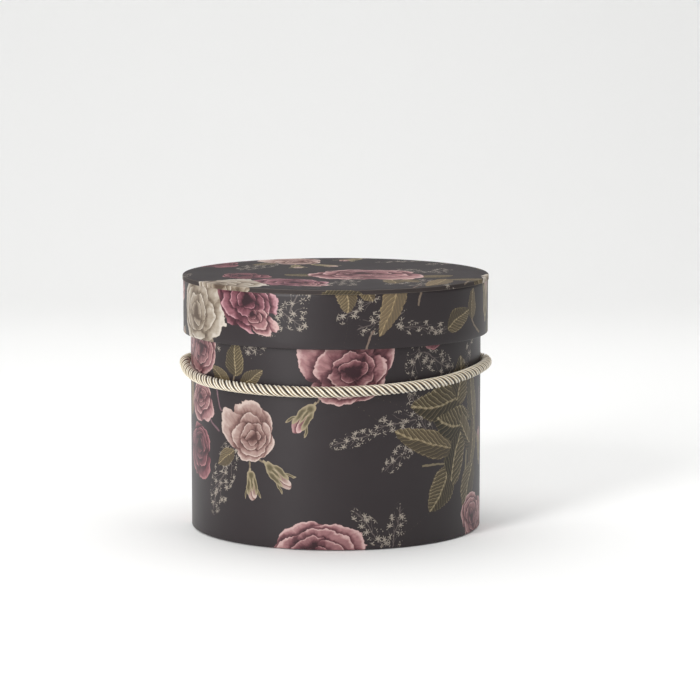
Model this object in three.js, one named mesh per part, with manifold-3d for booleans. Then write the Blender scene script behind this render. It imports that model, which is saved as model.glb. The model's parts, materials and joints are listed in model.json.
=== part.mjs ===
// A round, lidded hat box: greyboard walls and discs covered in printed paper, lined in
// plain paper, with a twisted cord handle that hangs across the front.
// Millimetres, +Z up. The origin is the middle of the underside, the front faces -Y and
// the handle's two holes lie on the X axis.
import * as THREE from "three";
import { mergeVertices } from "three/addons/utils/BufferGeometryUtils.js";
import Module from "manifold-3d";

const wasm = await Module();
wasm.setup();

// Body
const BODY_DIAMETER = 190.5; // over the printed paper
const BODY_HEIGHT = 162.4; // from the table to the body's top edge
const BOARD = 2.5; // greyboard of every wall and disc
const PRINTED_PAPER = 0.3;
const LINING_PAPER = 0.3;
const GLUE = 0.1; // between a paper and what it is pasted to
const TURN_IN = 12; // printed paper folded over an open edge and down inside
const TURN_UNDER = 10; // printed paper folded under the base
const COVER_MARGIN = 3; // the base's cover paper stops this far inside the edge
const LINING_DROP = 3; // a lining stops this far short of an open edge
const JOG = 1; // a lining steps in over a turned-in paper within this length

// Lid
const LID_RIM_DEPTH = 37.5; // from the lid's top face to its lower edge
const LID_FIT = 1; // air between the lid's lining and the body's paper
const LID_SEAT = 0.3; // between the lid's lining and the body's top edge
const TOP_FOLD = 2.5; // the top paper is folded this far down over the rim

// Handle
const CORD_DIAMETER = 7;
const CORD_GAP = 0.8; // between the hanging cord and the wall's paper
const HOLES_BELOW_LID = 18; // from the lid's lower edge to the middle of the holes
const HOLE_END_PLAY = 1; // room for the cord at each end of its hole
const HOLE_SIDE_PLAY = 1.5; // room for the cord above and below
const EXIT_BEND = 17; // radius of the cord's bend into its hole, on the unrolled wall
const EXIT_DROP = 1.5; // the cord's fall along that bend
const KNOT_DIAMETER = 20;
const KNOT_LENGTH = 16;
const KNOT_SHOULDER = 5; // length of each of the knot's tapered ends
const KNOT_FACE_DIAMETER = 10;
const KNOT_INSIDE = 2.8; // from the lining to the middle of the knot's nearer face
const TAIL_LENGTH = 10;
const JOINT_GAP = 0.3; // between pieces that meet end to end

// The hanging stretch of the cord, from the right hole to the left one: bearing from the
// +X axis towards the front in degrees, and fall below the middle of the holes.
const CORD_HANG = [
  [11.5, 1.8],
  [17, 2.1],
  [24, 2.7],
  [34, 3.9],
  [46, 5.5],
  [60, 6.8],
  [75, 7.9],
  [90, 8.6],
  [105, 8.8],
  [120, 8.7],
  [134, 8.4],
  [145, 7.9],
  [154, 7],
  [162, 5.4],
  [168, 3.6],
];

// Resolution
const ROUND_SEGMENTS = 96;
const CORD_SIDES = 10;
const CORD_STEPS = 68;
const KNOT_SEGMENTS = 24;
const HOLE_ARC_STEPS = 10;
const EXIT_STEPS = 7; // of the cord's bend into each hole

// Radii and heights that follow from the sizes above
const bodyRadius = BODY_DIAMETER / 2;
const pasted = PRINTED_PAPER + GLUE;
const wallOuter = bodyRadius - pasted;
const wallInner = wallOuter - BOARD;
const wallBottom = 2 * pasted;
const wallTop = BODY_HEIGHT - pasted;
const floorTop = wallBottom + BOARD;
const baseLiningTop = floorTop + GLUE + LINING_PAPER;

const rimInner = bodyRadius + LID_FIT + LINING_PAPER + GLUE + pasted;
const rimOuter = rimInner + BOARD;
const rimPaperOuter = rimOuter + pasted;
const lidLiningBottom = BODY_HEIGHT + LID_SEAT;
const lidBoardBottom = lidLiningBottom + LINING_PAPER + GLUE;
const lidBoardTop = lidBoardBottom + BOARD;
const lidTop = lidBoardTop + pasted;
const rimPaperBottom = lidTop - LID_RIM_DEPTH;
const rimBottom = rimPaperBottom + pasted;

// The cord bends about a centre on the unrolled wall and crosses the middle of the wall
// in line with the X axis.
const cordRadius = CORD_DIAMETER / 2;
const hanging = cordRadius + CORD_GAP; // the hanging cord's middle stands off the wall's paper
const wallThickness = pasted + BOARD + GLUE + LINING_PAPER;
const holeHeight = rimPaperBottom - HOLES_BELOW_LID;
const bendAngleAt = (depth, radius = EXIT_BEND) =>
  Math.acos((EXIT_BEND - hanging - depth) / radius);
const bendStart = EXIT_BEND * Math.sin(bendAngleAt(wallThickness / 2));
const bendEndAngle = bendAngleAt(wallThickness + KNOT_INSIDE);

// Colours
const CHARCOAL_PRINT = { color: 0x3b3638, roughness: 0.42, metalness: 0 };
const LINING_BLACK = { color: 0x26242a, roughness: 0.8, metalness: 0 };
const GREYBOARD = { color: 0x8f8b82, roughness: 0.9, metalness: 0 };
const CHAMPAGNE_CORD = { color: 0xd9cdb2, roughness: 0.4, metalness: 0 };

const named = (name, geometry, finish) => {
  const mesh = new THREE.Mesh(geometry, new THREE.MeshStandardMaterial(finish));
  mesh.name = name;
  return mesh;
};

// A solid of revolution about Z from [radius, height] points, which close on themselves
// or run from the axis to the axis with the solid on their left.
function turned(outline, segments = ROUND_SEGMENTS) {
  const onAxis = outline[0][0] === 0;
  const points = (onAxis ? outline : [...outline, outline[0]]).map((p) => new THREE.Vector2(...p));
  return new THREE.LatheGeometry(points, segments).rotateX(Math.PI / 2);
}

// A flat disc between two heights.
const disc = (radius, bottom, top) =>
  turned([[0, bottom], [radius, bottom], [radius, top], [0, top]]);

// A straight tube between two heights.
const tube = (inner, outer, bottom, top) =>
  turned([[inner, bottom], [outer, bottom], [outer, top], [inner, top]]);

// The outline of a sheet of even thickness that lies on the right of a path.
function sheetOutline(path, thickness) {
  const rightOf = (a, b) => new THREE.Vector2(b[1] - a[1], a[0] - b[0]).normalize();
  const far = path.map((point, i) => {
    const before = rightOf(path[Math.max(i - 1, 0)], path[Math.max(i, 1)]);
    const last = path.length - 1;
    const after = rightOf(path[Math.min(i, last - 1)], path[Math.min(i + 1, last)]);
    const mitre = before.clone().add(after).multiplyScalar(thickness / (1 + before.dot(after)));
    return [point[0] + mitre.x, point[1] + mitre.y];
  });
  return [...far, ...path.toReversed()];
}

// Joins and cuts
function toSolid(geometry) {
  const plain = geometry.clone();
  plain.deleteAttribute("normal");
  plain.deleteAttribute("uv");
  const merged = mergeVertices(plain, 1e-4);
  return new wasm.Manifold(
    new wasm.Mesh({
      numProp: 3,
      vertProperties: merged.attributes.position.array,
      triVerts: new Uint32Array(merged.index.array),
    }),
  );
}

function toGeometry(solid) {
  const { vertProperties, triVerts } = solid.getMesh();
  const geometry = new THREE.BufferGeometry()
    .setAttribute("position", new THREE.BufferAttribute(vertProperties, 3))
    .setIndex(new THREE.BufferAttribute(triVerts, 1));
  geometry.computeVertexNormals();
  return geometry;
}

// A bar along X whose section is the cord's hole, long enough to cut both walls at once.
// The hole's ends clear the cord's two sides where they meet the wall's two faces.
function holeBar() {
  const nearSide = EXIT_BEND - cordRadius;
  const farSide = EXIT_BEND + cordRadius;
  const front = bendStart - nearSide * Math.sin(bendAngleAt(0, nearSide)) + HOLE_END_PLAY;
  const back = bendStart - farSide * Math.sin(bendAngleAt(wallThickness, farSide)) - HOLE_END_PLAY;
  const halfHeight = cordRadius + HOLE_SIDE_PLAY;
  const reach = (front - back) / 2 - halfHeight;
  const section = new THREE.Shape()
    .absarc(reach, 0, halfHeight, -Math.PI / 2, Math.PI / 2)
    .absarc(-reach, 0, halfHeight, Math.PI / 2, (3 * Math.PI) / 2)
    .closePath();
  const depth = BODY_DIAMETER + 2 * BOARD;
  return new THREE.ExtrudeGeometry(section, {
    depth,
    bevelEnabled: false,
    curveSegments: HOLE_ARC_STEPS,
  })
    .translate(0, 0, -depth / 2)
    .rotateY(Math.PI / 2)
    .rotateX(Math.PI / 2)
    .translate(0, -(front + back) / 2, holeHeight);
}

const holes = toSolid(holeBar());
const withHoles = (geometry) => toGeometry(toSolid(geometry).subtract(holes));

// Body pieces
const wallBoard = () => withHoles(tube(wallInner, wallOuter, wallBottom, wallTop));
const baseBoard = () => disc(wallInner - GLUE, wallBottom, floorTop);

function wallPaper() {
  const inside = wallInner - GLUE;
  const outside = wallOuter + GLUE;
  const path = [
    [outside - TURN_UNDER, wallBottom - GLUE],
    [outside, wallBottom - GLUE],
    [outside, wallTop + GLUE],
    [inside, wallTop + GLUE],
    [inside, wallTop - TURN_IN],
  ];
  return withHoles(turned(sheetOutline(path, PRINTED_PAPER)));
}

const baseCoverPaper = () => disc(bodyRadius - COVER_MARGIN, 0, PRINTED_PAPER);
const baseLining = () => disc(wallInner - GLUE, floorTop + GLUE, baseLiningTop);

function wallLining() {
  const onBoard = wallInner - GLUE;
  const onPaper = onBoard - pasted;
  const turnEnd = wallTop - TURN_IN;
  const path = [
    [onPaper, BODY_HEIGHT - LINING_DROP],
    [onPaper, turnEnd - JOG],
    [onBoard, turnEnd - 2 * JOG],
    [onBoard, baseLiningTop + GLUE],
  ];
  return withHoles(turned(sheetOutline(path, LINING_PAPER)));
}

// Lid pieces
const lidTopBoard = () => disc(rimInner - GLUE, lidBoardBottom, lidBoardTop);
const lidRimBoard = () => tube(rimInner, rimOuter, rimBottom, lidBoardTop);

function lidRimPaper() {
  const inside = rimInner - GLUE;
  const outside = rimOuter + GLUE;
  const path = [
    [inside, rimBottom + TURN_IN],
    [inside, rimBottom - GLUE],
    [outside, rimBottom - GLUE],
    [outside, lidBoardTop],
  ];
  return turned(sheetOutline(path, PRINTED_PAPER));
}

function lidTopPaper() {
  const under = lidBoardTop + GLUE;
  const inside = rimPaperOuter + GLUE;
  const path = [[inside, lidBoardTop - TOP_FOLD], [inside, under], [0, under]];
  const outline = sheetOutline(path, PRINTED_PAPER);
  const fromAxis = outline.slice(path.length).concat(outline.slice(0, path.length));
  return turned(fromAxis);
}

const lidTopLining = () => disc(rimInner - GLUE, lidLiningBottom, lidBoardBottom - GLUE);

function lidRimLining() {
  const onBoard = rimInner - GLUE;
  const onPaper = onBoard - pasted;
  const turnEnd = rimBottom + TURN_IN;
  const path = [
    [onBoard, lidLiningBottom - GLUE],
    [onBoard, turnEnd + 2 * JOG],
    [onPaper, turnEnd + JOG],
    [onPaper, rimPaperBottom + LINING_DROP],
  ];
  return turned(sheetOutline(path, LINING_PAPER));
}

// Handle pieces
function wallPoint(bearing, standOff, height) {
  const radius = bodyRadius + standOff;
  return new THREE.Vector3(radius * Math.cos(bearing), -radius * Math.sin(bearing), height);
}

// The cord's bend through the right wall, from the knot's face to where it starts to hang.
const exitBend = Array.from({ length: EXIT_STEPS + 1 }, (_, i) => {
  const share = i / EXIT_STEPS;
  const angle = bendEndAngle * (1 - share);
  const along = bendStart - EXIT_BEND * Math.sin(angle);
  const standOff = hanging - EXIT_BEND * (1 - Math.cos(angle));
  return wallPoint(along / bodyRadius, standOff, holeHeight - EXIT_DROP * share ** 2);
});
const hang = CORD_HANG.map(([bearing, fall]) =>
  wallPoint(THREE.MathUtils.degToRad(bearing), hanging, holeHeight - fall),
);
const mirrored = exitBend.map((p) => new THREE.Vector3(-p.x, p.y, p.z)).toReversed();
const cordCurve = new THREE.CatmullRomCurve3(
  [...exitBend, ...hang, ...mirrored],
  false,
  "centripetal",
);

function cord() {
  const corners = Array.from({ length: CORD_SIDES }, (_, i) => {
    const angle = (2 * Math.PI * i) / CORD_SIDES;
    return new THREE.Vector2(Math.cos(angle), Math.sin(angle)).multiplyScalar(cordRadius);
  });
  return new THREE.ExtrudeGeometry(new THREE.Shape(corners), {
    steps: CORD_STEPS,
    extrudePath: cordCurve,
  });
}

const knot = () =>
  turned(
    [
      [0, 0],
      [KNOT_FACE_DIAMETER / 2, 0],
      [KNOT_DIAMETER / 2, KNOT_SHOULDER],
      [KNOT_DIAMETER / 2, KNOT_LENGTH - KNOT_SHOULDER],
      [KNOT_FACE_DIAMETER / 2, KNOT_LENGTH],
      [0, KNOT_LENGTH],
    ],
    KNOT_SEGMENTS,
  );

const tail = () =>
  turned(
    [[0, 0], [cordRadius, 0], [cordRadius, TAIL_LENGTH], [0, TAIL_LENGTH]],
    KNOT_SEGMENTS,
  );

// A knot and its tail inside the wall, in line with one end of the cord.
function cordEnd(side, at) {
  const end = cordCurve.getPointAt(at);
  const inward = cordCurve.getTangentAt(at).multiplyScalar(at === 0 ? -1 : 1);
  const group = new THREE.Group();
  group.position.copy(end);
  group.quaternion.setFromUnitVectors(new THREE.Vector3(0, 0, 1), inward);
  const knotMesh = named(`cord_knot_${side}`, knot(), CHAMPAGNE_CORD);
  knotMesh.position.z = JOINT_GAP;
  const tailMesh = named(`cord_tail_${side}`, tail(), CHAMPAGNE_CORD);
  tailMesh.position.z = KNOT_LENGTH + 2 * JOINT_GAP;
  return group.add(knotMesh, tailMesh);
}

const body = new THREE.Group().add(
  named("wall_board", wallBoard(), GREYBOARD),
  named("base_board", baseBoard(), GREYBOARD),
  named("wall_printed_paper", wallPaper(), CHARCOAL_PRINT),
  named("base_cover_paper", baseCoverPaper(), CHARCOAL_PRINT),
  named("wall_lining", wallLining(), LINING_BLACK),
  named("base_lining", baseLining(), LINING_BLACK),
);
const lid = new THREE.Group().add(
  named("lid_top_board", lidTopBoard(), GREYBOARD),
  named("lid_rim_board", lidRimBoard(), GREYBOARD),
  named("lid_rim_printed_paper", lidRimPaper(), CHARCOAL_PRINT),
  named("lid_top_printed_paper", lidTopPaper(), CHARCOAL_PRINT),
  named("lid_top_lining", lidTopLining(), LINING_BLACK),
  named("lid_rim_lining", lidRimLining(), LINING_BLACK),
);
const handle = new THREE.Group().add(
  named("handle_cord", cord(), CHAMPAGNE_CORD),
  cordEnd("right", 0),
  cordEnd("left", 1),
);

export default new THREE.Group().add(body, lid, handle);
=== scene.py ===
"""A small round hat box covered in rose-printed paper, with a twisted satin cord handle.

Every length is in metres unless a name says otherwise. The printed paper is drawn by
shader maths on one repeat of the print, measured in millimetres.
"""

import json
import logging
import math
import random
from collections.abc import Iterable, Sequence
from dataclasses import dataclass, field
from enum import Enum

import bmesh
import bpy
import numpy as np
from mathutils import Matrix, Vector

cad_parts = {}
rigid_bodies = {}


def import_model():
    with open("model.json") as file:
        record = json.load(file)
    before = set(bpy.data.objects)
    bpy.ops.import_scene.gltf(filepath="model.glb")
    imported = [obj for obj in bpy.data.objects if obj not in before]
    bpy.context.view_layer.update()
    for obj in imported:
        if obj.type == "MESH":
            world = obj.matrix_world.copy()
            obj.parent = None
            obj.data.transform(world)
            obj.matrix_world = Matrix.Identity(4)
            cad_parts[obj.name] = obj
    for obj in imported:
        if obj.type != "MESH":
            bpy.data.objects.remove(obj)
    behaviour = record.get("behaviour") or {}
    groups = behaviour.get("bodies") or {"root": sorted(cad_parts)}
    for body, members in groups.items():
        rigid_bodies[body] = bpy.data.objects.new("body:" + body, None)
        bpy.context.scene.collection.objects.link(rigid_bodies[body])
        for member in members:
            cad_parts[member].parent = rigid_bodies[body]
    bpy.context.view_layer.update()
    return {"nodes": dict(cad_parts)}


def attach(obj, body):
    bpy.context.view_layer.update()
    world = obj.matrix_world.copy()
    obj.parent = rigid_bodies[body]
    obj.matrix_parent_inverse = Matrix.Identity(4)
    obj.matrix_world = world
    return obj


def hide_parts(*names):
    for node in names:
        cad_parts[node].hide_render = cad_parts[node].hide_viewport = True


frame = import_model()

LOG = logging.getLogger("hat_box")
MM = 0.001


# --- Shader maths -----------------------------------------------------------------


class Num:
    """A number that varies over a surface, as one output of a shader."""

    def __init__(self, shader: "Shader", socket: bpy.types.NodeSocket) -> None:
        """Keeps the shader and the output socket."""
        self.shader = shader
        self.socket = socket

    def _with(self, operation: str, *values: "Num | float") -> "Num":
        """Adds one Math node on these values."""
        return self.shader.math(operation, *values)

    def __add__(self, other: "Num | float") -> "Num":
        """self + other."""
        return self._with("ADD", self, other)

    __radd__ = __add__

    def __sub__(self, other: "Num | float") -> "Num":
        """self - other."""
        return self._with("SUBTRACT", self, other)

    def __rsub__(self, other: "Num | float") -> "Num":
        """other - self."""
        return self._with("SUBTRACT", other, self)

    def __mul__(self, other: "Num | float") -> "Num":
        """self * other."""
        return self._with("MULTIPLY", self, other)

    __rmul__ = __mul__

    def __truediv__(self, other: "Num | float") -> "Num":
        """self / other."""
        return self._with("DIVIDE", self, other)

    def __abs__(self) -> "Num":
        """The size of self without its sign."""
        return self._with("ABSOLUTE", self)

    def __lt__(self, other: "Num | float") -> "Num":
        """1 where self is below other, and 0 elsewhere."""
        return self._with("LESS_THAN", self, other)

    def __gt__(self, other: "Num | float") -> "Num":
        """1 where self is above other, and 0 elsewhere."""
        return self._with("GREATER_THAN", self, other)

    def least(self, other: "Num | float") -> "Num":
        """The smaller of self and other."""
        return self._with("MINIMUM", self, other)

    def most(self, other: "Num | float") -> "Num":
        """The larger of self and other."""
        return self._with("MAXIMUM", self, other)

    def fraction(self) -> "Num":
        """The part of self after the point."""
        return self._with("FRACT", self)

    def power(self, exponent: float) -> "Num":
        """self to that power."""
        return self._with("POWER", self, exponent)

    def sine(self) -> "Num":
        """The sine of self in radians."""
        return self._with("SINE", self)

    def step(self, low: float, high: float, start: float = 0, end: float = 1) -> "Num":
        """Turns smoothly from start to end as self goes from low to high.

        Args:
            low: Where the turn starts.
            high: Where it ends, which may lie below low.
            start: The result before the turn.
            end: The result after it.

        Returns:
            The result.
        """
        node = self.shader.node(
            "ShaderNodeMapRange",
            {"interpolation_type": "SMOOTHSTEP"},
            {0: self, 1: low, 2: high, 3: start, 4: end},
        )
        return Num(self.shader, node.outputs[0])


class Vec:
    """A place or direction that varies over a surface, as one output of a shader."""

    def __init__(self, shader: "Shader", socket: bpy.types.NodeSocket) -> None:
        """Keeps the shader and the output socket."""
        self.shader = shader
        self.socket = socket

    def _with(self, operation: str, other: "Vec | Sequence[float]") -> "Vec":
        """Adds one Vector Math node on self and other.

        Args:
            operation: What the node does.
            other: Its second place.

        Returns:
            The node's result.
        """
        node = self.shader.node(
            "ShaderNodeVectorMath", {"operation": operation}, {0: self, 1: other}
        )
        return Vec(self.shader, node.outputs[0])

    def __add__(self, other: "Vec | Sequence[float]") -> "Vec":
        """self + other."""
        return self._with("ADD", other)

    def __sub__(self, other: "Vec | Sequence[float]") -> "Vec":
        """self - other."""
        return self._with("SUBTRACT", other)

    def __mul__(self, other: "Vec | Sequence[float]") -> "Vec":
        """self * other, part by part."""
        return self._with("MULTIPLY", other)

    def wrap(self, low: Sequence[float], high: Sequence[float]) -> "Vec":
        """Repeats a place so that it stays between two corners.

        Args:
            low: The lower corner.
            high: The upper corner.

        Returns:
            The place between them.
        """
        node = self.shader.node(
            "ShaderNodeVectorMath", {"operation": "WRAP"}, {0: self, 1: high, 2: low}
        )
        return Vec(self.shader, node.outputs[0])

    def unit(self) -> "Vec":
        """The direction of self."""
        node = self.shader.node("ShaderNodeVectorMath", {"operation": "NORMALIZE"}, {0: self})
        return Vec(self.shader, node.outputs[0])

    def length(self) -> Num:
        """The length of self."""
        node = self.shader.node("ShaderNodeVectorMath", {"operation": "LENGTH"}, {0: self})
        return Num(self.shader, node.outputs["Value"])

    def dot(self, other: Sequence[float]) -> Num:
        """Finds how far self reaches along another direction.

        Args:
            other: The direction, whose length scales the result.

        Returns:
            The reach.
        """
        settings = {"operation": "DOT_PRODUCT"}
        node = self.shader.node("ShaderNodeVectorMath", settings, {0: self, 1: other})
        return Num(self.shader, node.outputs["Value"])

    def parts(self) -> tuple[Num, Num, Num]:
        """Splits self.

        Returns:
            Its three parts.
        """
        node = self.shader.node("ShaderNodeSeparateXYZ", {}, {0: self})
        x, y, z = (Num(self.shader, out) for out in node.outputs)
        return x, y, z

    def seen_from(
        self, at: Sequence[float], turn: float, size: Sequence[float]
    ) -> "Vec":
        """The place in the frame of a mark that sits at a point, turned and sized.

        Args:
            at: The mark's middle.
            turn: The mark's turn in radians.
            size: The mark's two half sizes.

        Returns:
            The place, in half sizes from the mark's middle.
        """
        away = self - (*at, 0.0)
        cos, sin = math.cos(turn), math.sin(turn)
        along = away.dot((cos / size[0], sin / size[0], 0.0))
        across = away.dot((-sin / size[1], cos / size[1], 0.0))
        node = self.shader.node("ShaderNodeCombineXYZ", {}, {0: along, 1: across})
        return Vec(self.shader, node.outputs[0])


Value = Num | Vec | bpy.types.NodeSocket | float | Sequence[float]


class Shader:
    """The node tree of one material or of one shared group, written as expressions."""

    def __init__(self, name: str, shared: bool = False) -> None:
        """Starts an empty material, or an empty group that several materials share.

        Args:
            name: Its name.
            shared: Whether it is a group.
        """
        if shared:
            self.tree = bpy.data.node_groups.new(name, "ShaderNodeTree")
            return
        self.material = bpy.data.materials.new(name)
        self.material.use_nodes = True
        self.tree = self.material.node_tree
        self.tree.nodes.clear()

    def share(self, colour: "Vec") -> bpy.types.NodeTree:
        """Ends a group in the colour that it gives.

        Args:
            colour: The colour.

        Returns:
            The group.
        """
        self.tree.interface.new_socket("Colour", in_out="OUTPUT", socket_type="NodeSocketColor")
        self.node("NodeGroupOutput", {}, {0: colour})
        return self.tree

    def shared(self, group: bpy.types.NodeTree) -> "Vec":
        """The colour from a shared group."""
        return Vec(self, self.node("ShaderNodeGroup", {"node_tree": group}, {}).outputs[0])

    def node(
        self, kind: str, settings: dict[str, object], values: dict[int | str, Value]
    ) -> bpy.types.Node:
        """Adds any node.

        Args:
            kind: The node's type.
            settings: Its own settings, set first. "stops" holds a ramp's places and colours.
            values: What each input holds or is linked to.

        Returns:
            The new node.
        """
        node = self.tree.nodes.new(kind)
        for key, value in settings.items():
            if key == "stops":
                self._set_stops(node.color_ramp, value)
            else:
                setattr(node, key, value)
        for key, value in values.items():
            if isinstance(value, (Num, Vec)):
                value = value.socket
            if isinstance(value, bpy.types.NodeSocket):
                self.tree.links.new(value, node.inputs[key])
            else:
                node.inputs[key].default_value = value
        return node

    @staticmethod
    def _set_stops(ramp: bpy.types.ColorRamp, stops: Sequence[tuple]) -> None:
        """Gives a ramp its stops.

        Args:
            ramp: The ramp.
            stops: The place and the colour of each stop.
        """
        while len(ramp.elements) < len(stops):
            ramp.elements.new(1.0)
        for element, (place, colour) in zip(ramp.elements, stops):
            element.position = place
            element.color = (*colour, 1.0)

    def math(self, operation: str, *values: Num | float) -> Num:
        """One Math node."""
        node = self.node("ShaderNodeMath", {"operation": operation}, dict(enumerate(values)))
        return Num(self, node.outputs[0])

    def pick(self, share: Num | float, low: Num | float, high: Num | float) -> Num:
        """A number between low and high, by share."""
        node = self.node("ShaderNodeMix", {"data_type": "FLOAT"}, {0: share, 2: low, 3: high})
        return Num(self, node.outputs[0])

    def pick_place(
        self, share: Num, low: Vec | Sequence[float], high: Vec | Sequence[float]
    ) -> Vec:
        """A place between low and high, by share."""
        node = self.node("ShaderNodeMix", {"data_type": "VECTOR"}, {0: share, 4: low, 5: high})
        return Vec(self, node.outputs[1])

    def blend(self, share: Num | float, low: Value, high: Value, how: str = "MIX") -> Vec:
        """Blends two colours.

        Args:
            share: How much of the second one shows, from 0 to 1.
            low: The first colour.
            high: The second colour.
            how: The kind of blend.

        Returns:
            The blended colour.
        """
        low, high = ((*c, 1.0) if isinstance(c, tuple) else c for c in (low, high))
        settings = {"data_type": "RGBA", "blend_type": how}
        node = self.node("ShaderNodeMix", settings, {0: share, 6: low, 7: high})
        return Vec(self, node.outputs[2])

    def ramp(self, tone: Num, stops: Sequence[tuple]) -> Vec:
        """A colour looked up by tone."""
        node = self.node("ShaderNodeValToRGB", {"stops": stops}, {0: tone})
        return Vec(self, node.outputs[0])

    def noise(self, place: Vec, scale: float, detail: float = 2, rough: float = 0.5) -> Num:
        """Soft random marks from 0 to 1."""
        values = {"Vector": place, "Scale": scale, "Detail": detail, "Roughness": rough}
        return Num(self, self.node("ShaderNodeTexNoise", {}, values).outputs[0])

    def noise_push(self, place: Vec, scale: float, amount: float) -> Vec:
        """Makes a small random push in every direction of the print.

        Args:
            place: Where it is looked up.
            scale: How fine it is.
            amount: How far apart its two extremes lie.

        Returns:
            The push.
        """
        values = {"Vector": place, "Scale": scale, "Detail": 2.0}
        node = self.node("ShaderNodeTexNoise", {}, values)
        return (Vec(self, node.outputs[1]) - (0.5, 0.5, 0.5)) * (amount, amount, 0.0)

    def uv(self, name: str) -> Vec:
        """The place on the mesh's map of that name."""
        return Vec(self, self.node("ShaderNodeUVMap", {"uv_map": name}, {}).outputs[0])

    def object_place(self) -> Vec:
        """The place in the object's own space, in metres."""
        return Vec(self, self.node("ShaderNodeTexCoord", {}, {}).outputs["Object"])

    def attribute(self, name: str) -> Num:
        """A number kept on the mesh."""
        node = self.node("ShaderNodeAttribute", {"attribute_name": name}, {})
        return Num(self, node.outputs["Fac"])

    def bump(self, height: Num, depth: float, strength: float = 1.0) -> Vec:
        """A surface normal from a height of 0 to 1."""
        values = {"Strength": strength, "Distance": depth, "Height": height}
        return Vec(self, self.node("ShaderNodeBump", {}, values).outputs[0])

    def surface(self, **values: Value) -> bpy.types.Material:
        """Ends the material in a Principled surface.

        Args:
            **values: Its inputs, with underscores for spaces.

        Returns:
            The finished material.
        """
        named = {key.replace("_", " "): value for key, value in values.items()}
        for key, value in named.items():
            if isinstance(value, tuple) and len(value) == 3:
                named[key] = (*value, 1.0)
        finish = self.node("ShaderNodeBsdfPrincipled", {}, named)
        self.node("ShaderNodeOutputMaterial", {}, {0: finish.outputs[0]})
        return self.material


def srgb(red: int, green: int, blue: int) -> tuple[float, float, float]:
    """A shader colour from three display values of 0 to 255."""
    scaled = (c / 255 for c in (red, green, blue))
    return tuple(c / 12.92 if c <= 0.04045 else ((c + 0.055) / 1.055) ** 2.4 for c in scaled)


# --- The print --------------------------------------------------------------------


class Bloom(Enum):
    """The colourways of the printed roses, from shadow to petal edge."""

    PINK = ((46, 20, 27), (104, 63, 68), (152, 110, 111), (194, 162, 158))
    WINE = ((30, 12, 18), (68, 33, 41), (108, 61, 69), (158, 110, 112))
    BLUSH = ((72, 45, 42), (128, 97, 91), (162, 137, 129), (194, 175, 166))
    CREAM = ((80, 64, 52), (132, 118, 102), (165, 154, 140), (196, 187, 176))
    MAUVE = ((42, 18, 26), (94, 51, 60), (136, 88, 96), (182, 140, 145))

    def stops(self) -> list[tuple]:
        """The ramp from the deepest fold to the lit edge."""
        return list(zip((0.0, 0.34, 0.68, 1.0), (srgb(*c) for c in self.value)))


@dataclass(frozen=True)
class Mark:
    """One printed mark.

    Attributes:
        at: Its middle on the print's repeat, in millimetres.
        size: Its half length and half width, in millimetres.
        turn: Degrees from the repeat's first axis to the mark's tip.
        tint: Its colourway's number, or a share of the second colour.
        bend: How far it curves or leans, in half sizes.
    """

    at: tuple[float, float]
    size: tuple[float, float]
    turn: float = 0.0
    tint: float = 0.0
    bend: float = 0.0


@dataclass(frozen=True)
class Ring:
    """One ring of petals in a rose of radius 1.

    Attributes:
        count: How many petals.
        out: How far their middles lie from the heart.
        depth: A petal's half size away from the heart.
        width: A petal's half size across.
        turn: The first petal's direction in degrees.
        tone: The petals' tone before light and shade.
    """

    count: int
    out: float
    depth: float
    width: float
    turn: float
    tone: float


PINK, WINE, BLUSH, CREAM, MAUVE = (float(i) for i in range(len(Bloom)))

ROSES = (
    Mark((157.5, 121), (29, 34), -70, PINK, 0.3),
    Mark((89, 76), (24, 21.5), -50, BLUSH, 0.42),
    Mark((40, 86), (15, 19), 100, PINK, 0.3),
    Mark((36, 54), (20, 20), 80, WINE, 0.2),
    Mark((138, -14), (34, 41), 95, PINK, 0.3),
    Mark((270, 7), (27, 19), 150, PINK, 0.3),
    Mark((220, 138), (15, 13), 20, WINE, 0.1),
    Mark((33, 120), (30, 21), 10, PINK, 0.3),
    Mark((53, 193), (30, 27), 200, CREAM, 0.36),
    Mark((8, 209), (16, 15), 60, PINK, 0.2),
    Mark((88, 203), (29, 22), -20, MAUVE, 0.2),
    Mark((102, 190), (17, 10), -30, PINK, -0.4),
    Mark((262, 152), (24, 20), 40, BLUSH, 0.25),
    Mark((232, 240), (24, 19), 15, CREAM, 0.3),
    Mark((60, 240), (19, 16), 120, WINE, 0.2),
)
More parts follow.
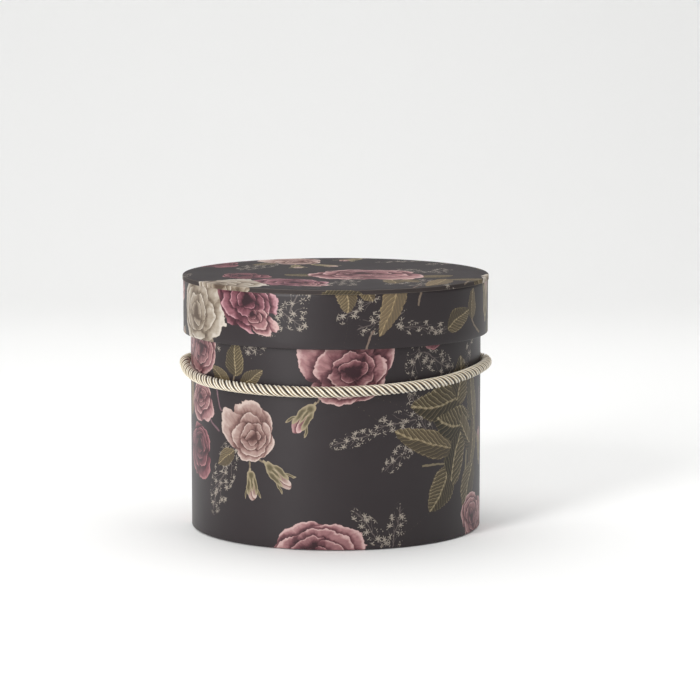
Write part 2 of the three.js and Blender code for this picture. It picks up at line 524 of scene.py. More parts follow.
LEAVES = (
    Mark((79.5, 119), (11.5, 8), 90, 0.2, 0.12),
    Mark((65, 107), (10, 5.5), 150, 0.3, 0.2),
    Mark((93, 107.5), (9.5, 5), 30, 0.3, -0.2),
    Mark((243, 101), (17, 11), 78, 0.1, -0.3),
    Mark((224, 90), (25, 12.5), 186, 0.05, 0.3),
    Mark((236, 76), (21, 13), 168, 0.0, 0.4),
    Mark((262, 90), (20, 7.5), 100, 0.1, 0.2),
    Mark((213, 66), (27, 9), 163, 0.25, 0.3),
    Mark((250, 70), (20, 8), 128, 0.1, 0.4),
    Mark((241, 56), (22, 10.5), 66, 0.0, 0.45),
    Mark((263, 62), (19, 6.5), 80, 0.15, -0.3),
    Mark((224, 33), (15.5, 11), 236, 0.1, 0.2),
    Mark((256, 31), (19, 9.5), -112, 0.05, -0.3),
    Mark((70.5, 54.5), (9.5, 5), 215, 0.35, 0.1),
    Mark((18, 92), (17, 6), 90, 0.8, 0.1),
    Mark((156, 207), (12, 7), -84, 0.45, 0.1),
    Mark((167.5, 211), (10, 5.5), -66, 0.4, -0.1),
    Mark((184, 201), (22, 7.5), -108, 0.75, 0.25),
    Mark((208, 217), (19, 7), 176, 0.3, 0.2),
    Mark((226, 215), (12, 6.5), -22, 0.5, 0.3),
    Mark((236, 187.5), (12.5, 7), 24, 0.2, 0.25),
    Mark((251, 195.5), (10, 5), 88, 0.3, 0.1),
    Mark((120, 150), (17, 8), 20, 0.1, 0.2),
    Mark((60, 150), (15, 8), 140, 0.25, -0.2),
    Mark((288, 178), (16, 7), 60, 0.1, 0.2),
    Mark((180, 236), (16, 7.5), 200, 0.3, 0.2),
    Mark((278, 236), (17, 8), 100, 0.1, -0.2),
    Mark((100, 244), (15, 7), -20, 0.2, 0.2),
)
BUDS = (
    Mark((129.5, 84.5), (13.5, 9.5), -127, PINK),
    Mark((111.5, 47), (13.5, 8.5), -40, BLUSH),
    Mark((93, 39), (11.5, 7.5), -84, BLUSH),
    Mark((277, 197), (16.5, 12), 84, BLUSH),
    Mark((190, 160), (13, 9), 30, PINK),
    Mark((20, 168), (12, 8), 120, BLUSH),
    Mark((280, 55), (14, 9), 95, PINK),
)
STEMS = (
    Mark((98.5, 56.5), (6, 3), -38, 0.3, 0.3),
    Mark((91.3, 52.5), (5, 3), -84, 0.3, -0.2),
    Mark((63.5, 91), (8, 3), -68, 1.0, 0.3),
    Mark((57.5, 74.5), (8, 3), -30, 1.0, 0.2),
    Mark((252.5, 60), (22, 4), 88, 0.0, 0.4),
    Mark((218, 50.5), (10, 3), 176, 0.1, 0.3),
    Mark((140.5, 98.5), (5.5, 3), 62, 0.3, 0.2),
    Mark((77.5, 104), (6, 3), 70, 0.3, 0.3),
    Mark((256, 181), (8, 3), -40, 0.3, 0.3),
    Mark((279, 78), (16, 4), 86, 1.0, 0.2),
    Mark((204, 207), (9, 3), -105, 0.4, 0.2),
    Mark((170, 178), (7, 3), -110, 0.5, 0.2),
)
SPRAYS = (
    Mark((67.5, 42), (26, 9.5), -115),
    Mark((171, 13.5), (15, 6), 130),
    Mark((189, 13), (15, 6), 80),
    Mark((161.5, 71), (15, 4.8), 197),
    Mark((193, 80), (19, 7.5), 190),
    Mark((191, 58.5), (14, 5.5), -140),
    Mark((206, 84), (17, 6), 120),
    Mark((203, 119.5), (12, 7), -105),
    Mark((220, 118), (16, 7.5), -25),
    Mark((255.5, 119), (12, 4.5), -120),
    Mark((62, 125), (5, 4), 70),
    Mark((125.5, 203.5), (16, 8), 72),
    Mark((122, 192), (12, 6), -30),
    Mark((109, 184), (8, 4), 20),
    Mark((163, 198), (14, 5), 212),
    Mark((177, 190), (16, 6.5), 200),
    Mark((206, 184), (19, 4.5), -6),
    Mark((176, 214), (7, 4.5), 80),
    Mark((100, 130), (14, 6), 30),
    Mark((170, 150), (15, 6), 80),
    Mark((150, 240), (17, 7), 10),
    Mark((15, 240), (16, 7), 60),
)
RINGS = (
    Ring(5, 0.50, 0.50, 0.60, 18, 0.56),
    Ring(4, 0.34, 0.39, 0.50, 64, 0.48),
    Ring(4, 0.22, 0.27, 0.32, 15, 0.36),
    Ring(3, 0.10, 0.17, 0.20, 80, 0.26),
)


class RosePrint:
    """The paper's print: roses, leaves, buds and fine sprays on a charcoal ground.

    Attributes:
        repeat: Width and height of the print before it repeats, in millimetres.
    """

    repeat = (299.2, 260.0)
    ground = srgb(47, 40, 42)
    ground_dark = srgb(38, 32, 34)
    leaf_stops = (
        (0.0, srgb(30, 26, 18)),
        (0.35, srgb(62, 54, 37)),
        (0.7, srgb(106, 94, 68)),
        (1.0, srgb(158, 145, 116)),
    )
    sepal_stops = (
        (0.3, srgb(48, 41, 28)),
        (0.65, srgb(94, 84, 60)),
        (1.0, srgb(150, 137, 110)),
    )
    tan_leaf = srgb(166, 146, 118)
    stem_green = srgb(122, 112, 86)
    stem_mauve = srgb(112, 86, 92)
    spray_ink = srgb(160, 150, 138)
    spray_line = srgb(104, 94, 90)

    def __init__(self) -> None:
        """Starts at the place on the print, pushed about a little so no edge is ruled."""
        self.shader = shader = Shader("rose print", shared=True)
        self.sheet = shader.uv("print")
        hand = shader.noise_push(self.sheet, 0.11, 3.4) + shader.noise_push(self.sheet, 0.5, 0.9)
        repeated = self.sheet.wrap((0.0, 0.0, -1.0), (*self.repeat, 1.0))
        self.drawn = repeated + hand

    def _with_repeats(self, marks: Iterable[Mark]) -> list[Mark]:
        """Repeats the marks that cross an edge of the print.

        Args:
            marks: The marks of one kind.

        Returns:
            The marks, with a copy past each edge that one crosses.
        """
        width, height = self.repeat
        out = []
        for mark in marks:
            reach = max(mark.size) * 1.1
            for shift in ((0, 0), (width, 0), (-width, 0), (0, height), (0, -height)):
                u, v = mark.at[0] + shift[0], mark.at[1] + shift[1]
                if -reach < u < width + reach and -reach < v < height + reach:
                    out.append(Mark((u, v), mark.size, mark.turn, mark.tint, mark.bend))
        return out

    def nearest(self, marks: Iterable[Mark]) -> tuple[Vec, Num, Num, Num]:
        """Finds the mark that a place belongs to.

        Args:
            marks: The marks of one kind.

        Returns:
            The place in that mark's own frame, the distance there, its tint and its bend.
        """
        place, facts, best = None, None, None
        for mark in self._with_repeats(marks):
            here = self.drawn.seen_from(mark.at, math.radians(mark.turn), mark.size)
            distance = here.length()
            told = (mark.tint, mark.bend, 0.0)
            if best is None:
                nearer = distance < 1000.0
                place = here
                facts = self.shader.pick_place(nearer, told, told)
                best = distance
            else:
                nearer = distance < best
                place = self.shader.pick_place(nearer, place, here)
                facts = self.shader.pick_place(nearer, facts, told)
                best = best.least(distance)
        tint, bend, _ = facts.parts()
        return place, best, tint, bend

    def rose(self) -> tuple[Num, Vec]:
        """Paints the roses petal by petal, from the outside in.

        Returns:
            Their mask and colour.
        """
        shader = self.shader
        place, _, tint, lean = self.nearest(ROSES)
        square = place.length().power(2)
        push = shader.node("ShaderNodeCombineXYZ", {}, {0: (1 - square).most(0) * lean})
        place = place - Vec(shader, push.outputs[0])
        place = place + shader.noise_push(self.sheet, 0.16, 0.2)
        dice = random.Random(7)
        tone: Num | None = None
        mask: Num | None = None
        for ring in RINGS:
            for k in range(ring.count):
                turn = math.radians(ring.turn + 360 / ring.count * k + dice.uniform(-14, 14))
                out = ring.out * dice.uniform(0.84, 1.08)
                size = (ring.depth * dice.uniform(0.85, 1.1), ring.width * dice.uniform(0.8, 1.1))
                petal = place.seen_from((out * math.cos(turn), out * math.sin(turn)), turn, size)
                far = petal.length()
                outward = petal.parts()[0]
                base = ring.tone + dice.uniform(-0.08, 0.1)
                lit = outward.step(-0.7, 0.85, base - 0.42, base + 0.18)
                lit = lit + far.step(0.8, 0.97, 0, 0.36) * outward.step(-0.1, 0.7)
                inside = far.step(1.0, 0.97)
                if tone is None:
                    tone, mask = lit, inside
                else:
                    tone = shader.pick(inside, tone * far.step(1.0, 1.3, 0.36, 1), lit)
                    mask = mask.most(inside)
        tone = tone * place.length().step(0.0, 0.2, 0.4, 1)
        rays = place.unit() * (2.6, 2.6, 1) + place * (0.5, 0.5, 0)
        streaks = shader.noise(rays, 2.4, 4, 0.65)
        wash = shader.noise(self.sheet, 0.22, 3, 0.6)
        tone = tone + (streaks - 0.5) * 0.62 + (wash - 0.5) * 0.34
        colour = shader.ramp(tone, Bloom.PINK.stops())
        for number, bloom in enumerate(tuple(Bloom)[1:], start=1):
            chosen = tint > number - 0.5
            colour = shader.blend(chosen, colour, shader.ramp(tone, bloom.stops()))
        return mask, colour

    def leaf(self) -> tuple[Num, Vec]:
        """Paints the leaves, with a midrib, side veins and a toothed edge.

        Returns:
            Their mask and colour.
        """
        shader = self.shader
        place, _, tint, bend = self.nearest(LEAVES)
        along, across, _ = place.parts()
        across = across + bend * (along * along - 0.4)
        side = abs(across)
        teeth = ((along + side * 0.3) * 6.5).fraction()
        half = (1 - along * along).most(0).power(0.62) * (1 - along * 0.3) - teeth * 0.09
        inside = (side - half).step(0.03, -0.03)
        vein_at = ((along - side * 0.62) * 5.2).fraction()
        vein = abs(vein_at - 0.5).step(0.15, 0.02)
        rib = side.step(0.1, 0.02)
        edge = (side / half.most(0.05)).step(0.84, 0.97)
        shade = across.step(-0.25, 0.25, 0.16, -0.12)
        brushed = (shader.noise(self.sheet, 0.8, 4, 0.7) - 0.5) * 0.5
        tone = 0.12 + shade + vein * 0.5 + rib * 0.6 + edge * 0.34 + vein_at * 0.22 + brushed
        colour = shader.ramp(tone, self.leaf_stops)
        tan = shader.blend(1.0, colour, self.tan_leaf, "SOFT_LIGHT")
        pale = shader.blend(0.4, tan, self.tan_leaf)
        return inside, shader.blend(tint, colour, pale)

    def bud(self) -> tuple[Num, Vec]:
        """Paints the buds: a closed bloom in a calyx with flaring sepals.

        Returns:
            Their mask and colour.
        """
        shader = self.shader
        place, _, tint, _ = self.nearest(BUDS)
        along, across, _ = place.parts()
        side = abs(across)
        joined = shader.node("ShaderNodeCombineXYZ", {}, {0: along, 1: side})
        mirror = Vec(shader, joined.outputs[0])
        bloom = place.seen_from((0.2, 0.0), 0.0, (0.7, 0.52))
        fold = place.seen_from((0.26, 0.16), 0.12, (0.55, 0.3))
        cup = place.seen_from((-0.5, 0.0), 0.0, (0.3, 0.4)).length()
        hug = mirror.seen_from((-0.02, 0.34), 0.12, (0.62, 0.21)).length()
        tip = mirror.seen_from((0.46, 0.66), 0.55, (0.36, 0.09)).length()
        middle = place.seen_from((-0.16, -0.02), 0.0, (0.55, 0.14)).length()
        rear = side.step(0.12, 0.08) * along.step(-0.98, -0.9) * along.step(-0.3, -0.5)
        bloom_far, fold_far = bloom.length(), fold.length()
        tone = bloom_far.step(0.1, 1.0, 0.3, 0.8)
        folded = fold_far.step(0.2, 1.0, 0.4, 1.0)
        tone = shader.pick(fold_far.step(1, 0.94), tone * fold_far.step(1, 1.4, 0.4, 1), folded)
        tone = tone + (shader.noise(self.sheet, 1.1, 3, 0.7) - 0.5) * 0.4
        blush = shader.ramp(tone, Bloom.BLUSH.stops())
        pink = shader.ramp(tone, Bloom.PINK.stops())
        petals = shader.blend(tint > 0.5, pink, blush)
        green_far = cup.least(hug).least(tip).least(middle)
        green = green_far.step(1.0, 0.9).most(rear)
        leafy = shader.ramp(green_far.step(0.2, 1, 0.6, 1.1) - side * 0.1, self.sepal_stops)
        mask = bloom_far.step(1.0, 0.95).most(green)
        return mask, shader.blend(green, petals, leafy)

    def stem(self) -> tuple[Num, Vec]:
        """Paints the stems.

        Returns:
            Their mask and colour.
        """
        place, _, tint, bend = self.nearest(STEMS)
        along, across, _ = place.parts()
        away = abs(across + bend * (1 - along * along) - bend * 0.5)
        mask = away.step(0.26, 0.17) * abs(along).step(1.0, 0.94)
        return mask, self.shader.blend(tint, self.stem_green, self.stem_mauve)

    def spray(self) -> tuple[Num, Num]:
        """Draws the fine sprays.

        Returns:
            The mask of their twigs and the mask of their starry florets.
        """
        shader = self.shader
        place, far, _, _ = self.nearest(SPRAYS)
        along, across, _ = place.parts()
        side = abs(across + 0.12 * (along * 3).sine())
        stalk = side.step(0.075, 0.03)
        twigs = abs(((along - side * 0.7) * 2.3).fraction() - 0.5).step(0.05, 0.02)
        inside = far.step(1.0, 0.88)
        lines = stalk.most(twigs * side.step(0.8, 0.6)) * inside
        values = {"Vector": self.drawn, "Scale": 0.19, "Randomness": 0.85}
        cells = shader.node("ShaderNodeTexVoronoi", {"voronoi_dimensions": "2D"}, values)
        middle = Vec(shader, cells.outputs["Position"])
        dx, dy, _ = (self.drawn - middle).parts()
        reach = (self.drawn - middle).length()
        turned = shader.math("ARCTAN2", dy, dx) * 3.5 + middle.dot((2.7, 1.9, 0))
        rays = (abs(turned.sine()) * reach).step(1.05, 0.55) * reach.step(2.7, 2.0)
        rough = shader.noise(self.sheet, 0.25, 1)
        florets = rays.most(reach.step(0.55, 0.4)) * (rough > 0.44) * far.step(1.15, 1.0)
        return lines, florets

    def draw(self) -> bpy.types.NodeTree:
        """Lays each kind of mark over the one before.

        Returns:
            The print, as a group that gives its colour.
        """
        shader = self.shader
        cloud = shader.noise(self.sheet, 0.05, 3)
        fleck = shader.noise(self.sheet, 2.2, 2, 0.6)
        painted = shader.blend(cloud * 0.5 + fleck * 0.35, self.ground, self.ground_dark)
        lines, florets = self.spray()
        painted = shader.blend(lines * 0.75, painted, self.spray_line)
        painted = shader.blend(florets * 0.85, painted, self.spray_ink)
        for draw in (self.stem, self.leaf, self.rose, self.bud):
            mask, colour = draw()
            painted = shader.blend(mask, painted, colour)
        return shader.share(painted)


PRINT_FRONT = RosePrint.repeat[0] / 2


# --- Finishes ---------------------------------------------------------------------


@dataclass(frozen=True)
class PrintedPaper:
    """Satin paper with the rose print, pale where its cut edge shows and where a painted highlight
    lies.

    Attributes:
        name: The material's name.
        rough: The paper's roughness before its small changes.
        shine: How strongly it mirrors.
        core: The colour of a cut edge, also blended thinly over the lid's corner and fold as
            painted highlight.
    """

    name: str
    rough: float = 0.42
    shine: float = 0.34
    core: tuple[float, float, float] = srgb(176, 166, 154)

    def make(self, rose_print: bpy.types.NodeTree) -> bpy.types.Material:
        """Builds the material.

        Args:
            rose_print: The print that several papers share.

        Returns:
            The material.
        """
        shader = Shader(self.name)
        sheet = shader.uv("print")
        cut = shader.attribute("cut")
        # The core colour shows on cut edges, and thinly on the lid's corner and fold as painted
        # highlight.
        colour = shader.blend(cut, shader.shared(rose_print), self.core)
        fibre = shader.noise(sheet, 1.4, 4, 0.6)
        drift = shader.noise(sheet, 0.03, 2)
        rough = self.rough + (fibre - 0.5) * 0.1 + (drift - 0.5) * 0.08
        wave = shader.noise(sheet, 0.045, 1)
        height = fibre * 0.35 + wave
        return shader.surface(
            Base_Color=colour,
            Roughness=rough,
            Specular_IOR_Level=self.shine,
            Normal=shader.bump(height, 0.0002, 0.35),
        )


@dataclass(frozen=True)
class PlainPaper:
    """Uncoated paper of one colour, with fibres in it.

    Attributes:
        name: The material's name.
        colour: The paper's colour.
        fleck: The colour of its fibres.
    """

    name: str
    colour: tuple[float, float, float]
    fleck: tuple[float, float, float]

    def make(self) -> bpy.types.Material:
        """Builds the material.

        Returns:
            The material.
        """
        shader = Shader(self.name)
        place = shader.object_place()
        fibre = shader.noise(place * (1, 1, 0.35), 1900, 4, 0.65)
        cloud = shader.noise(place, 45, 3)
        share = fibre.step(0.52, 0.74) * 0.4 + (cloud - 0.5) * 0.35
        return shader.surface(
            Base_Color=shader.blend(share, self.colour, self.fleck),
            Roughness=0.78 + (fibre - 0.5) * 0.2,
            Specular_IOR_Level=0.35,
            Normal=shader.bump(fibre, 0.00006, 0.5),
        )


@dataclass(frozen=True)
class Greyboard:
    """Pressed grey-brown board, with layers at its edge and flecks of old print.

    Attributes:
        name: The material's name.
        pale: Its lightest colour.
        dark: Its darkest colour.
        speck: The colour of its flecks.
    """

    name: str = "greyboard"
    pale: tuple[float, float, float] = srgb(158, 151, 140)
    dark: tuple[float, float, float] = srgb(104, 98, 90)
    speck: tuple[float, float, float] = srgb(62, 66, 78)

    def make(self) -> bpy.types.Material:
        """Builds the material.

        Returns:
            The material.
        """
        shader = Shader(self.name)
        place = shader.object_place()
        pulp = shader.noise(place, 520, 5, 0.65)
        layers = shader.noise(place * (0.2, 0.2, 4), 900, 2)
        specks = shader.noise(place, 2600, 1).step(0.71, 0.76)
        colour = shader.blend(pulp.step(0.3, 0.7), self.pale, self.dark)
        colour = shader.blend(specks * 0.7, colour, self.speck)
        return shader.surface(
            Base_Color=colour,
            Roughness=0.9 - pulp * 0.08,
            Normal=shader.bump(pulp * 0.7 + layers * 0.3, 0.0002, 0.6),
        )


@dataclass(frozen=True)
class SatinYarn:
    """Shiny yarn laid side by side in each strand of a rope, with painted shade in the grooves and
    painted highlights on the ridges.

    Attributes:
        name: The material's name.
        yarns: How many yarns show round the rope.
        slant: How many yarns the fibres cross in one millimetre.
    """

    name: str = "satin yarn"
    yarns: int = 42
    slant: float = 0.9

    def make(self) -> bpy.types.Material:
        """Builds the material.

        Returns:
            The material.
        """
        shader = Shader(self.name)
        place = shader.uv("rope")
        around, along, _ = place.parts()
        depth = shader.attribute("depth")
        turn = (around * self.yarns + along * self.slant).fraction()
        round_yarn = 1 - abs(turn - 0.5) * 2
        wander = shader.noise(place * (40, 0.35, 0), 1.0, 3)
        # Painted shade and highlight: from near black in the grooves to near white on the ridges.
        stops = (
            (0.0, srgb(16, 11, 8)),
            (0.42, srgb(54, 41, 26)),
            (0.66, srgb(112, 91, 60)),
            (0.82, srgb(158, 136, 100)),
            (0.93, srgb(232, 218, 190)),
            (1.0, srgb(255, 250, 236)),
        )
        # Depth gives the painted shade and highlight; each yarn is painted a little lighter at its
        # crest.
        tone = depth + (round_yarn - 0.5) * 0.1 + (wander - 0.5) * 0.16
        return shader.surface(
            Base_Color=shader.ramp(tone, stops),
            Roughness=0.26 + (1 - depth) * 0.4,
            Specular_IOR_Level=1.0,
            Sheen_Weight=0.5,
            Normal=shader.bump(round_yarn, 0.00012, 0.7),
        )


@dataclass(frozen=True)
class Seamless:
    """The pale floor and the wall behind it.

    Attributes:
        name: The material's name.
        colour: Its colour.
    """

    name: str = "seamless paper"
    colour: tuple[float, float, float] = srgb(252, 252, 251)

    def make(self) -> bpy.types.Material:
        """Builds the material.

        Returns:
            The material.
        """
        shader = Shader(self.name)
        tooth = shader.noise(shader.object_place(), 300, 3)
        return shader.surface(
            Base_Color=shader.blend(tooth * 0.04, self.colour, (0.6, 0.6, 0.6)),
            Roughness=0.85 + tooth * 0.05,
            Normal=shader.bump(tooth, 0.0001, 0.3),
        )


# --- Shapes -----------------------------------------------------------------------

Point = tuple[float, float]


def rounded(path: Sequence[Point], radii: Sequence[float], steps: int = 5) -> list[Point]:
    """Rounds the inner corners of an open path.

    Args:
        path: Radius and height of each corner, in millimetres.
        radii: The radius at each corner between the two ends.
        steps: How many pieces each round has.

    Returns:
        The path with arcs in place of its corners.
    """
    out = [path[0]]
    for before, corner, after, radius in zip(path, path[1:], path[2:], radii):
        a, b, c = (Vector(p) for p in (before, corner, after))
        back, on = (a - b).normalized(), (c - b).normalized()
        half = math.acos(max(-1.0, min(1.0, back.dot(on)))) / 2
        if radius == 0 or half > math.radians(88):
            out.append(corner)
            continue
        reach = radius / math.tan(half)
        middle = b + (back + on).normalized() * (radius / math.sin(half))
        start, end = b + back * reach - middle, b + on * reach - middle
        sweep = start.angle_signed(end)
        for i in range(steps + 1):
            turned = Matrix.Rotation(-sweep * i / steps, 2) @ start
            out.append(tuple(middle + turned))
    return [*out, path[-1]]


def offset(path: Sequence[Point], thickness: float) -> list[Point]:
    """Finds the far side of a sheet that lies on the left of a path.

    Args:
        path: Radius and height of each point of the near side, in millimetres.
        thickness: The sheet's thickness in millimetres.

    Returns:
        The far side's points, in the same order.
    """
    points = [Vector(p) for p in path]
    sides = [Vector((a.y - b.y, b.x - a.x)).normalized() for a, b in zip(points, points[1:])]
    out = []
    for i, point in enumerate(points):
        before, after = sides[max(i - 1, 0)], sides[min(i, len(sides) - 1)]
        out.append(tuple(point + (before + after) * (thickness / (1 + before.dot(after)))))
    return out


class Layout(Enum):
    """How a turned piece is laid out flat."""

    UNROLLED = "unrolled"
    POLAR = "polar"


@dataclass
class Turned:
    """A closed solid of revolution about Z.

    Attributes:
        name: The piece's name.
        outline: Radius and height of its outline's points, in millimetres, solid on the left.
        shown: How many of the outline's first points are on its shown side.
        layout: How it is laid out flat.
        origin: Where the print starts: across at the front's middle, and along at the start.
        closed: Whether the outline is a ring or runs from the axis to the axis.
        segments: How many flat sides it has round the axis.
        rows: Into how many rows its round is split on the flat map.
        hidden_share: How much of its true size the hidden side has on the flat map.
        cut_and_highlight_strips: How pale single strips of the outline are: cut edges, and strips
            painted paler as painted highlight.
    """

    name: str
    outline: Sequence[Point]
    shown: int
    layout: Layout = Layout.UNROLLED
    origin: Point = (PRINT_FRONT, 0.0)
    closed: bool = True
    segments: int = 256
    rows: int = 2
    hidden_share: float = 0.03
    cut_and_highlight_strips: dict[int, float] = field(default_factory=dict)

    def build(self) -> bpy.types.Object:
        """Makes the mesh with its two flat maps, its cut-edge marks and its painted highlight
        strips.

        Returns:
            The new object.
        """
        points = list(self.outline)
        along, flat = self._lengths()
        strips = len(along) - 1
        widest = max(r for r, _ in points)
        mesh = bmesh.new()
        rings = [self._ring(mesh, point) for point in points]
        print_map = mesh.loops.layers.uv.new("print")
        bake_map = mesh.loops.layers.uv.new("OFBake")
        cut = mesh.faces.layers.float.new("cut")
        made = mesh.faces.layers.int.new("made")
        cut_strips = {self.shown - 1, strips - 1} if self.closed else set()
        inward = sum(a[0] * b[1] - b[0] * a[1] for a, b in zip(points, points[1:] + points[:1])) < 0
        for i in range(strips):
            low, high = rings[i], rings[(i + 1) % len(rings)]
            for j in range(self.segments):
                corners = self._corners(low, high, i, j)
                if inward:
                    corners.reverse()
                face = mesh.faces.new([c[0] for c in corners])
                face.smooth = True
                # Cut edges get 1; the listed strips get their painted highlight.
                face[cut] = 1.0 if i in cut_strips else self.cut_and_highlight_strips.get(i, 0.0)
                face[made] = 1
                for loop, (_, step, turn) in zip(face.loops, corners):
                    loop[print_map].uv = self._print_place(along[step], turn)
                    loop[bake_map].uv = self._bake_place(flat[step], turn, flat[-1], j, widest)
        return finished(self.name, mesh)

    def _lengths(self) -> tuple[list[float], list[float]]:
        """Measures how far along the outline each point lies.

        Returns:
            The distances in millimetres, and again with the hidden side squeezed.
        """
        points = list(self.outline)
        after = points[1:] + points[:1] if self.closed else points[1:]
        along, flat = [0.0], [0.0]
        for i, (low, high) in enumerate(zip(points, after)):
            span = math.dist(low, high)
            along.append(along[-1] + span)
            flat.append(flat[-1] + span * (1 if i < self.shown - 1 else self.hidden_share))
        return along, flat

    def _corners(
        self, low: list[bmesh.types.BMVert], high: list[bmesh.types.BMVert], strip: int, side: int
    ) -> list[tuple[bmesh.types.BMVert, int, float]]:
        """Finds the corners of one face.

        Args:
            low: The ring before its strip.
            high: The ring after it.
            strip: The strip's number.
            side: The side's number.

        Returns:
            Each corner's vertex, outline point and sides round from the back.
        """
        after = (side + 1) % self.segments
        corners = [(low[0], strip, side + 0.5)]
        if len(low) > 1:
            corners = [(low[side], strip, side), (low[after], strip, side + 1)]
        if len(high) > 1:
            return [*corners, (high[after], strip + 1, side + 1), (high[side], strip + 1, side)]
        return [*corners, (high[0], strip + 1, side + 0.5)]

    def _ring(self, mesh: bmesh.types.BMesh, point: Point) -> list[bmesh.types.BMVert]:
        """Makes the vertices of one outline point round the axis.

        Args:
            mesh: Where they are made.
            point: The point's radius and height in millimetres.

        Returns:
            The ring, or the one vertex of a point on the axis.
        """
        radius, height = point[0] * MM, point[1] * MM
        if radius == 0:
            return [mesh.verts.new((0, 0, height))]
        turns = [2 * math.pi * (j / self.segments - 0.5) for j in range(self.segments)]
        return [mesh.verts.new((radius * math.sin(t), -radius * math.cos(t), height))
                for t in turns]

    def _print_place(self, along: float, turn: float) -> Point:
        """Finds a corner's place on the print.

        Args:
            along: How far along the outline it lies, in millimetres.
            turn: How many sides round from the back it lies.

        Returns:
            The place in millimetres.
        """
        share = turn / self.segments - 0.5
        if self.layout is Layout.UNROLLED:
            return self.origin[0] + share * 2 * RosePrint.repeat[0], self.origin[1] + along
        angle = 2 * math.pi * share
        return self.origin[0] + along * math.sin(angle), self.origin[1] - along * math.cos(angle)

    def _bake_place(
        self, flat: float, turn: float, total: float, side: int, widest: float
    ) -> Point:
        """Finds a corner's place on the square map that the finishes are saved to.

        Args:
            flat: How far along the outline it lies, with the hidden side squeezed.
            turn: How many sides round from the back it lies.
            total: The whole length of the squeezed outline.
            side: The number of its face's side, which says the row.
            widest: The outline's largest radius in millimetres.

        Returns:
            The place, from 0 to 1 each way.
        """
        share = turn / self.segments
        if self.layout is Layout.POLAR:
            angle, reach = 2 * math.pi * share, 0.49 * flat / total
            return 0.5 + reach * math.sin(angle), 0.5 - reach * math.cos(angle)
        row = side * self.rows // self.segments
        width, height = 2 * math.pi * widest / self.rows, total * 1.02
        scale = 0.98 / max(width, height * self.rows)
        stretch = max(1.0, 0.75 / (scale * min(width, height * self.rows)))
        sx, sy = (stretch, 1.0) if width < height * self.rows else (1.0, stretch)
        across = (share * self.rows - row) * width
        return 0.01 + across * scale * sx, 0.01 + (row * height + flat) * scale * sy


def split_longest(path: Sequence[Point], count: int) -> list[Point]:
    """Splits a path's longest run evenly.

    Args:
        path: The path's points.
        count: Into how many pieces the run is split.

    Returns:
        The path with the new points.
    """
    spans = [math.dist(a, b) for a, b in zip(path, path[1:])]
    at = spans.index(max(spans))
    (r0, z0), (r1, z1) = path[at], path[at + 1]
    middle = [(r0 + (r1 - r0) * i / count, z0 + (z1 - z0) * i / count) for i in range(1, count)]
    return [*path[: at + 1], *middle, *path[at + 1 :]]


def finished(name: str, mesh: bmesh.types.BMesh) -> bpy.types.Object:
    """Turns a bmesh into a linked object.

    Args:
        name: The object's name.
        mesh: The bmesh, which is freed.

    Returns:
        The new object.
    """
    data = bpy.data.meshes.new(name)
    mesh.to_mesh(data)
    mesh.free()
    thing = bpy.data.objects.new(name, data)
    bpy.context.scene.collection.objects.link(thing)
    return thing


def sheet_outline(path: Sequence[Point], thickness: float) -> tuple[list[Point], int]:
    """A closed outline from a sheet's shown side, and how many points that side has."""
    return [*path, *reversed(offset(path, thickness))], len(path)


def cut_holes(thing: bpy.types.Object, cutter: bpy.types.Object) -> None:
    """Cuts the cutter out of a piece and lays the new faces in a free strip of its map.

    Args:
        thing: The piece, whose mesh is replaced.
        cutter: What is cut out of it.
    """
    change = thing.modifiers.new("holes", "BOOLEAN")
    change.operation, change.solver, change.object = "DIFFERENCE", "EXACT", cutter
    bpy.context.view_layer.update()
    graph = bpy.context.evaluated_depsgraph_get()
    result = bpy.data.meshes.new_from_object(thing.evaluated_get(graph))
    thing.modifiers.clear()
    thing.data = result
    mesh = bmesh.new()
    mesh.from_mesh(result)
    made = mesh.faces.layers.int["made"]
    cut = mesh.faces.layers.float["cut"]
    bake_map = mesh.loops.layers.uv["OFBake"]
    fresh = [face for face in mesh.faces if face[made] != 1]
    cell = 0.9 / max(len(fresh), 1)
    for number, face in enumerate(fresh):
        face[cut] = 1.0
        face.smooth = False
        count = len(face.loops)
        for i, loop in enumerate(face.loops):
            angle = 2 * math.pi * i / count
            across, up = 0.5 + 0.4 * math.cos(angle), 0.5 + 0.4 * math.sin(angle)
            loop[bake_map].uv = (0.985 + 0.012 * across, 0.02 + cell * (number + up))
    mesh.to_mesh(result)
    mesh.free()


def smooth_line(points: Sequence[Vector], spacing: float) -> list[Vector]:
    """Finds points at even spacing along the centripetal curve through some points.

    Args:
        points: The points that the curve runs through.
        spacing: The wanted distance along the curve, in the points' units.

    Returns:
        The evenly spaced points, both ends among them.
    """
    ends = [points[0] * 2 - points[1], *points, points[-1] * 2 - points[-2]]
    steps = 24
    dense: list[Vector] = []
    for a, b, c, d in zip(ends, ends[1:], ends[2:], ends[3:]):
        t1 = (b - a).length ** 0.5
        t2 = t1 + (c - b).length ** 0.5
        t3 = t2 + (d - c).length ** 0.5
        for i in range(steps):
            t = t1 + (t2 - t1) * i / steps
            ab = a * ((t1 - t) / t1) + b * (t / t1)
            bc = b * ((t2 - t) / (t2 - t1)) + c * ((t - t1) / (t2 - t1))
            cd = c * ((t3 - t) / (t3 - t2)) + d * ((t - t2) / (t3 - t2))
            abc = ab * ((t2 - t) / t2) + bc * (t / t2)
            bcd = bc * ((t3 - t) / (t3 - t1)) + cd * ((t - t1) / (t3 - t1))
            dense.append(abc * ((t2 - t) / (t2 - t1)) + bcd * ((t - t1) / (t2 - t1)))
    dense.append(points[-1].copy())
    reach = [0.0]
    for a, b in zip(dense, dense[1:]):
        reach.append(reach[-1] + (b - a).length)
    count = max(2, round(reach[-1] / spacing))
    wanted = np.linspace(0, reach[-1], count + 1)
    columns = [np.interp(wanted, reach, [p[i] for p in dense]) for i in range(3)]
    return [Vector(p) for p in zip(*columns)]


